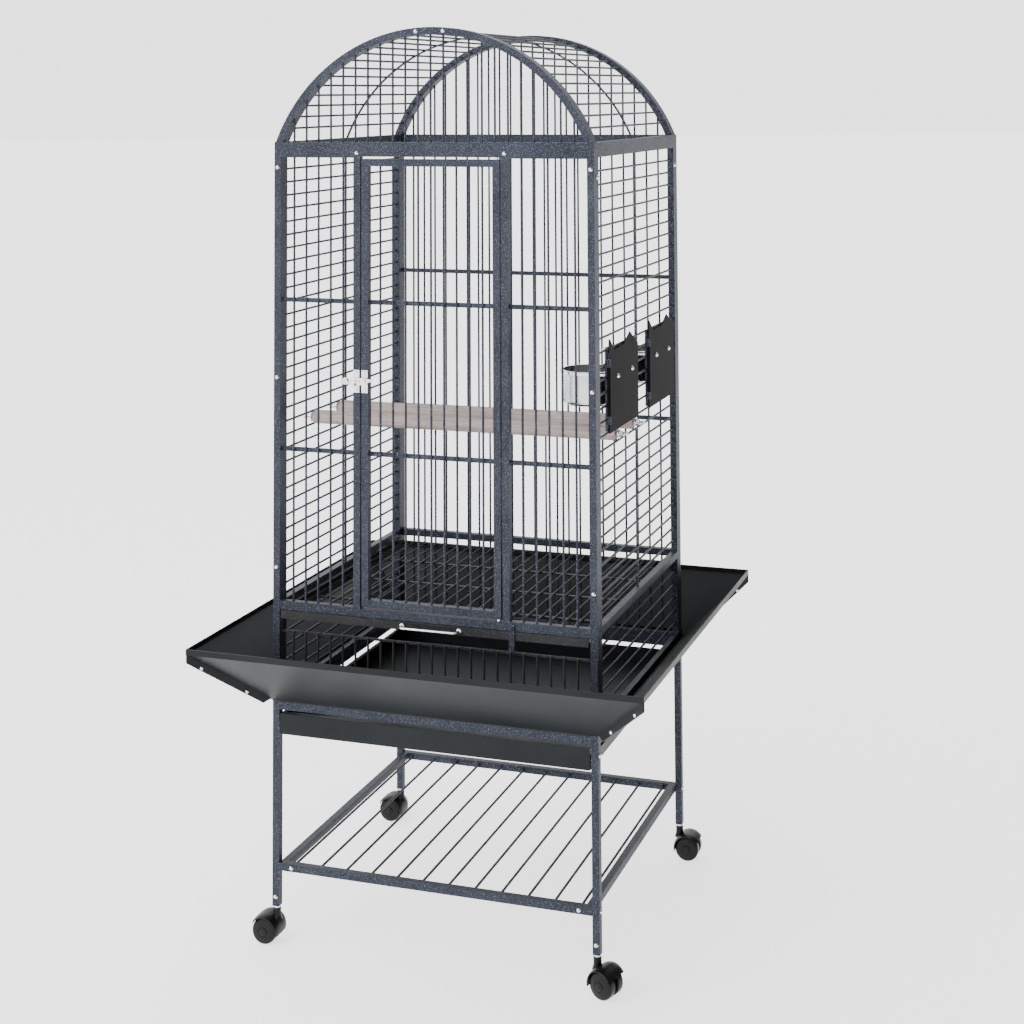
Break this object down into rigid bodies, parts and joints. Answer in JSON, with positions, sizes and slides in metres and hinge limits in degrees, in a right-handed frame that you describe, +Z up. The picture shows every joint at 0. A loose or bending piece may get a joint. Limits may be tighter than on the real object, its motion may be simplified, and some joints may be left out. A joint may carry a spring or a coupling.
{
  "type": "bird cage on stand",
  "caption": "Tall dome-top wire bird cage with a front door, side feeder doors, perches, pull-out grate and tray and a flared seed skirt, on a wheeled stand with a shelf.",
  "frame": {"origin": "on the floor, under the middle of the cage", "axes": "+Z up, -Y out of the front door, +X to the right seen from the front"},
  "size_m": [0.8348, 0.7848, 1.6225],
  "materials": {
    "frame": "hammertone powder coat, dark blue-grey with fine light speckle, semi-gloss",
    "wire": "powder-coated wire, dark grey, semi-gloss",
    "sheet": "powder-coated sheet steel, dark charcoal, satin",
    "feeder_plate": "powder-coated sheet, black, fine texture",
    "chrome": "bright plated",
    "zinc": "bright zinc plated",
    "stainless": "polished stainless steel",
    "perch_wood": "smooth turned hardwood, pale grey-pink, unvarnished",
    "caster_plastic": "black moulded plastic",
    "wheel_plastic": "black moulded plastic wheels"
  },
  "bodies": {
    "cage": {"leg_front_left": "frame", "leg_front_right": "frame", "leg_rear_left": "frame", "leg_rear_right": "frame", "shelf": "frame", "stand_rail_front": "frame", "stand_rail_rear": "frame", "stand_rail_left": "frame", "stand_rail_right": "frame", "stem_sockets": "caster_plastic", "tray_runners": "sheet", "grate_runners": "sheet", "skirt_front": "sheet", "skirt_rear": "sheet", "skirt_left": "sheet", "skirt_right": "sheet", "front_left_section": "frame", "front_right_section": "frame", "front_sill": "frame", "front_lower_grille": "wire", "front_top_rail": "frame", "front_arch": "frame", "rear_panel": "frame", "rear_arch": "frame", "left_panel": "frame", "right_panel": "frame", "dome_left": "frame", "dome_right": "frame", "frame_bolts": "zinc", "door_hinge_pins": "zinc", "latch_keeper": "chrome", "feeder_hinge_pins": "zinc", "perch_front_rod": "perch_wood", "perch_rear_rod": "perch_wood", "perch_fixings": "zinc"},
    "caster_front_left": {"caster_front_left": "caster_plastic", "stem_front_left": "zinc"},
    "wheels_front_left": {"wheels_front_left": "wheel_plastic"},
    "caster_front_right": {"caster_front_right": "caster_plastic", "stem_front_right": "zinc"},
    "wheels_front_right": {"wheels_front_right": "wheel_plastic"},
    "caster_rear_left": {"caster_rear_left": "caster_plastic", "stem_rear_left": "zinc"},
    "wheels_rear_left": {"wheels_rear_left": "wheel_plastic"},
    "caster_rear_right": {"caster_rear_right": "caster_plastic", "stem_rear_right": "zinc"},
    "wheels_rear_right": {"wheels_rear_right": "wheel_plastic"},
    "tray": {"tray": "sheet"},
    "grate": {"grate": "wire", "grate_pull": "zinc", "grate_stop_tab": "frame"},
    "door": {"door": "frame", "latch_plate": "chrome"},
    "latch": {"latch_lever": "chrome"},
    "feeder_front": {"feeder_door_front": "feeder_plate", "feeder_ring_front": "chrome"},
    "bowl_front": {"bowl_front": "stainless"},
    "feeder_rear": {"feeder_door_rear": "feeder_plate", "feeder_ring_rear": "chrome"},
    "bowl_rear": {"bowl_rear": "stainless"}
  },
  "joints": [
    {"name": "swivel_front_left", "type": "hinge", "parent": "cage", "child": "caster_front_left", "pos_m": [-0.2985, -0.2735, 0.064], "axis": [0, 0, 1], "continuous": true},
    {"name": "roll_front_left", "type": "hinge", "parent": "caster_front_left", "child": "wheels_front_left", "pos_m": [-0.3165, -0.2735, 0.023], "axis": [0, 1, 0], "continuous": true},
    {"name": "swivel_front_right", "type": "hinge", "parent": "cage", "child": "caster_front_right", "pos_m": [0.2985, -0.2735, 0.064], "axis": [0, 0, 1], "continuous": true},
    {"name": "roll_front_right", "type": "hinge", "parent": "caster_front_right", "child": "wheels_front_right", "pos_m": [0.31541, -0.27966, 0.023], "axis": [-0.342, -0.9397, 0], "continuous": true},
    {"name": "swivel_rear_left", "type": "hinge", "parent": "cage", "child": "caster_rear_left", "pos_m": [-0.2985, 0.2735, 0.064], "axis": [0, 0, 1], "continuous": true},
    {"name": "roll_rear_left", "type": "hinge", "parent": "caster_rear_left", "child": "wheels_rear_left", "pos_m": [-0.3165, 0.2735, 0.023], "axis": [0, 1, 0], "continuous": true},
    {"name": "swivel_rear_right", "type": "hinge", "parent": "cage", "child": "caster_rear_right", "pos_m": [0.2985, 0.2735, 0.064], "axis": [0, 0, 1], "continuous": true},
    {"name": "roll_rear_right", "type": "hinge", "parent": "caster_rear_right", "child": "wheels_rear_right", "pos_m": [0.3165, 0.2735, 0.023], "axis": [0, -1, 0], "continuous": true},
    {"name": "door_hinge", "type": "hinge", "parent": "cage", "child": "door", "pos_m": [0.125, -0.2735, 0.596], "axis": [0, 0, 1], "range_deg": [0, 105]},
    {"name": "latch_turn", "type": "hinge", "parent": "door", "child": "latch", "pos_m": [-0.125, -0.284, 0.994], "axis": [0, 1, 0], "range_deg": [0, 75]},
    {"name": "tray_slide", "type": "slide", "parent": "cage", "child": "tray", "axis": [0, -1, 0], "range_m": [0, 0.48]},
    {"name": "grate_slide", "type": "slide", "parent": "cage", "child": "grate", "axis": [0, -1, 0], "range_m": [0, 0.48]},
    {"name": "feeder_hinge_front", "type": "hinge", "parent": "cage", "child": "feeder_front", "pos_m": [0.30425, -0.2, 0.91], "axis": [0, 0, -1], "range_deg": [0, 110]},
    {"name": "bowl_lift_front", "type": "slide", "parent": "feeder_front", "child": "bowl_front", "axis": [0, 0, 1], "range_m": [0, 0.06]},
    {"name": "feeder_hinge_rear", "type": "hinge", "parent": "cage", "child": "feeder_rear", "pos_m": [0.30425, 0.058, 0.91], "axis": [0, 0, -1], "range_deg": [0, 110]},
    {"name": "bowl_lift_rear", "type": "slide", "parent": "feeder_rear", "child": "bowl_rear", "axis": [0, 0, 1], "range_m": [0, 0.06]}
  ]
}
